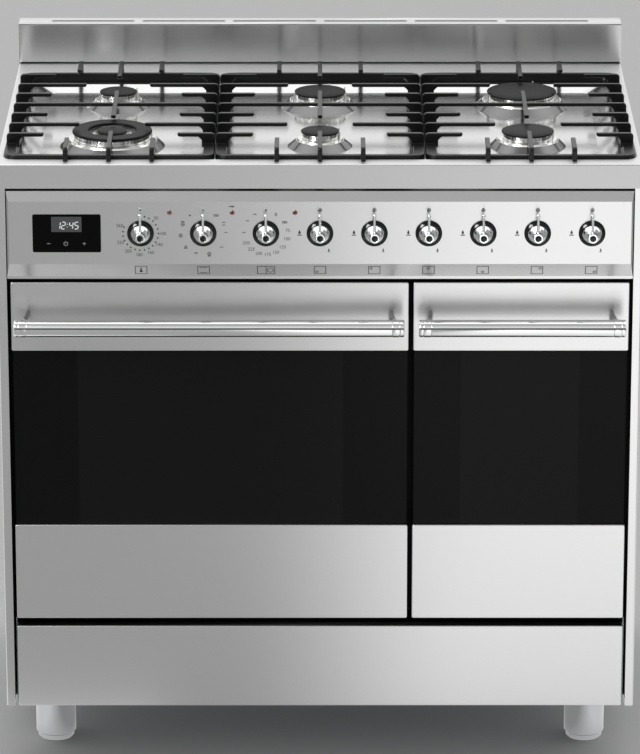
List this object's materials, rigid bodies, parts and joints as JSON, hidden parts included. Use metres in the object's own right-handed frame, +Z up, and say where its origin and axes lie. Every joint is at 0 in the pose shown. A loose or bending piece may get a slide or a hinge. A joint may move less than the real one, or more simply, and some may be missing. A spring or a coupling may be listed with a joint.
{
  "type": "range cooker",
  "caption": "Free-standing stainless-steel range cooker: gas hob with cast pan supports, control panel with knobs and clock, main and auxiliary drop-down ovens, storage drawer.",
  "frame": {"origin": "on the floor, under the middle of the whole cooker's box, handles included", "axes": "+X along the front to the right, +Y towards the wall, +Z up; the doors face -Y"},
  "size_m": [0.898, 0.6626, 0.961],
  "materials": {
    "brushed_steel": "satin",
    "polished_steel": "polished",
    "handle_steel": "satin",
    "galvanised_steel": "satin",
    "element_steel": "satin",
    "cast_iron": "satin",
    "black_enamel": "satin",
    "oven_enamel": "gloss",
    "chrome": "polished",
    "aluminium": "satin",
    "brass": "satin",
    "black_glass": "gloss",
    "lamp_glass": "gloss",
    "clock_black": "gloss",
    "bezel_black": "gloss",
    "lamp_amber": "gloss",
    "control_plastic": "matte",
    "mineral_wool": "matte",
    "seal_rubber": "matte",
    "probe_ceramic": "gloss"
  },
  "bodies": {
    "cooker_body": {"left_side_panel": "brushed_steel", "right_side_panel": "brushed_steel", "back_panel": "galvanised_steel", "base_frame": "galvanised_steel", "front_frame": "black_enamel", "hob_top": "polished_steel", "splashback": "brushed_steel", "control_panel": "brushed_steel", "clock_module": "clock_black", "indicator_lamps": "lamp_amber", "knob_bezels": "bezel_black", "oven_switches": "control_plastic", "gas_rail": "brass", "gas_pipes": "aluminium", "burner_cups": "aluminium", "burner_crowns": "aluminium", "burner_caps": "black_enamel", "burner_probes": "probe_ceramic", "main_oven_liner": "oven_enamel", "aux_oven_liner": "oven_enamel", "oven_insulation": "mineral_wool", "door_seals": "seal_rubber", "oven_racks": "chrome", "oven_tray": "oven_enamel", "heating_elements": "element_steel", "fan_housing": "element_steel", "oven_lamps": "lamp_glass", "hinge_brackets": "galvanised_steel", "drawer_guides": "galvanised_steel", "levelling_feet": "aluminium", "rear_connections": "control_plastic"},
    "main_door": {"main_door_skins": "brushed_steel", "main_door_glass": "black_glass", "main_door_frame": "oven_enamel", "main_door_handle": "handle_steel"},
    "aux_door": {"aux_door_skins": "brushed_steel", "aux_door_glass": "black_glass", "aux_door_frame": "oven_enamel", "aux_door_handle": "handle_steel"},
    "drawer": {"drawer_front": "brushed_steel", "drawer_box": "galvanised_steel"},
    "left_pan_support": {"pan_support_left": "cast_iron"},
    "centre_pan_support": {"pan_support_centre": "cast_iron"},
    "right_pan_support": {"pan_support_right": "cast_iron"},
    "oven_fan": {"convection_fan": "element_steel"},
    "main_thermostat_control": {"main_thermostat_knob": "chrome"},
    "main_selector_control": {"main_selector_knob": "chrome"},
    "aux_selector_control": {"aux_selector_knob": "chrome"},
    "left_front_tap": {"left_front_tap_collar": "brass"},
    "left_front_control": {"left_front_knob": "chrome"},
    "left_rear_tap": {"left_rear_tap_collar": "brass"},
    "left_rear_control": {"left_rear_knob": "chrome"},
    "centre_rear_tap": {"centre_rear_tap_collar": "brass"},
    "centre_rear_control": {"centre_rear_knob": "chrome"},
    "centre_front_tap": {"centre_front_tap_collar": "brass"},
    "centre_front_control": {"centre_front_knob": "chrome"},
    "right_rear_tap": {"right_rear_tap_collar": "brass"},
    "right_rear_control": {"right_rear_knob": "chrome"},
    "right_front_tap": {"right_front_tap_collar": "brass"},
    "right_front_control": {"right_front_knob": "chrome"}
  },
  "joints": [
    {"name": "main_door_hinge", "type": "hinge", "parent": "cooker_body", "child": "main_door", "pos_m": [-0.154, -0.2437, 0.257], "axis": [1, 0, 0], "range_deg": [0, 90], "stiffness_Nm_per_rad": 7, "springref_deg": -20.05},
    {"name": "aux_door_hinge", "type": "hinge", "parent": "cooker_body", "child": "aux_door", "pos_m": [0.28125, -0.2437, 0.257], "axis": [1, 0, 0], "range_deg": [0, 90], "stiffness_Nm_per_rad": 4, "springref_deg": -20.05},
    {"name": "drawer_slide", "type": "slide", "parent": "cooker_body", "child": "drawer", "axis": [0, -1, 0], "range_m": [0, 0.35]},
    {"name": "convection_fan_spin", "type": "hinge", "parent": "cooker_body", "child": "oven_fan", "pos_m": [-0.154, 0.1713, 0.475], "axis": [0, 1, 0], "continuous": true},
    {"name": "left_pan_support_lift", "type": "slide", "parent": "cooker_body", "child": "left_pan_support", "axis": [0, 0, 1], "range_m": [0, 0.06]},
    {"name": "centre_pan_support_lift", "type": "slide", "parent": "cooker_body", "child": "centre_pan_support", "axis": [0, 0, 1], "range_m": [0, 0.06]},
    {"name": "right_pan_support_lift", "type": "slide", "parent": "cooker_body", "child": "right_pan_support", "axis": [0, 0, 1], "range_m": [0, 0.06]},
    {"name": "main_thermostat_turn", "type": "hinge", "parent": "cooker_body", "child": "main_thermostat_control", "pos_m": [-0.249, -0.2887, 0.804], "axis": [0, 1, 0], "range_deg": [0, 290]},
    {"name": "main_selector_turn", "type": "hinge", "parent": "cooker_body", "child": "main_selector_control", "pos_m": [-0.162, -0.2887, 0.804], "axis": [0, 1, 0], "continuous": true},
    {"name": "aux_selector_turn", "type": "hinge", "parent": "cooker_body", "child": "aux_selector_control", "pos_m": [-0.075, -0.2887, 0.804], "axis": [0, 1, 0], "range_deg": [0, 330]},
    {"name": "left_front_turn", "type": "hinge", "parent": "cooker_body", "child": "left_front_tap", "pos_m": [0, -0.2887, 0.804], "axis": [0, -1, 0], "range_deg": [0, 210]},
    {"name": "left_front_push", "type": "slide", "parent": "left_front_tap", "child": "left_front_control", "axis": [0, 1, 0], "range_m": [0, 0.004], "stiffness_N_per_m": 700, "springref_m": -0.004},
    {"name": "left_rear_turn", "type": "hinge", "parent": "cooker_body", "child": "left_rear_tap", "pos_m": [0.0755, -0.2887, 0.804], "axis": [0, -1, 0], "range_deg": [0, 210]},
    {"name": "left_rear_push", "type": "slide", "parent": "left_rear_tap", "child": "left_rear_control", "axis": [0, 1, 0], "range_m": [0, 0.004], "stiffness_N_per_m": 700, "springref_m": -0.004},
    {"name": "centre_rear_turn", "type": "hinge", "parent": "cooker_body", "child": "centre_rear_tap", "pos_m": [0.151, -0.2887, 0.804], "axis": [0, -1, 0], "range_deg": [0, 210]},
    {"name": "centre_rear_push", "type": "slide", "parent": "centre_rear_tap", "child": "centre_rear_control", "axis": [0, 1, 0], "range_m": [0, 0.004], "stiffness_N_per_m": 700, "springref_m": -0.004},
    {"name": "centre_front_turn", "type": "hinge", "parent": "cooker_body", "child": "centre_front_tap", "pos_m": [0.2265, -0.2887, 0.804], "axis": [0, -1, 0], "range_deg": [0, 210]},
    {"name": "centre_front_push", "type": "slide", "parent": "centre_front_tap", "child": "centre_front_control", "axis": [0, 1, 0], "range_m": [0, 0.004], "stiffness_N_per_m": 700, "springref_m": -0.004},
    {"name": "right_rear_turn", "type": "hinge", "parent": "cooker_body", "child": "right_rear_tap", "pos_m": [0.302, -0.2887, 0.804], "axis": [0, -1, 0], "range_deg": [0, 210]},
    {"name": "right_rear_push", "type": "slide", "parent": "right_rear_tap", "child": "right_rear_control", "axis": [0, 1, 0], "range_m": [0, 0.004], "stiffness_N_per_m": 700, "springref_m": -0.004},
    {"name": "right_front_turn", "type": "hinge", "parent": "cooker_body", "child": "right_front_tap", "pos_m": [0.3775, -0.2887, 0.804], "axis": [0, -1, 0], "range_deg": [0, 210]},
    {"name": "right_front_push", "type": "slide", "parent": "right_front_tap", "child": "right_front_control", "axis": [0, 1, 0], "range_m": [0, 0.004], "stiffness_N_per_m": 700, "springref_m": -0.004}
  ]
}
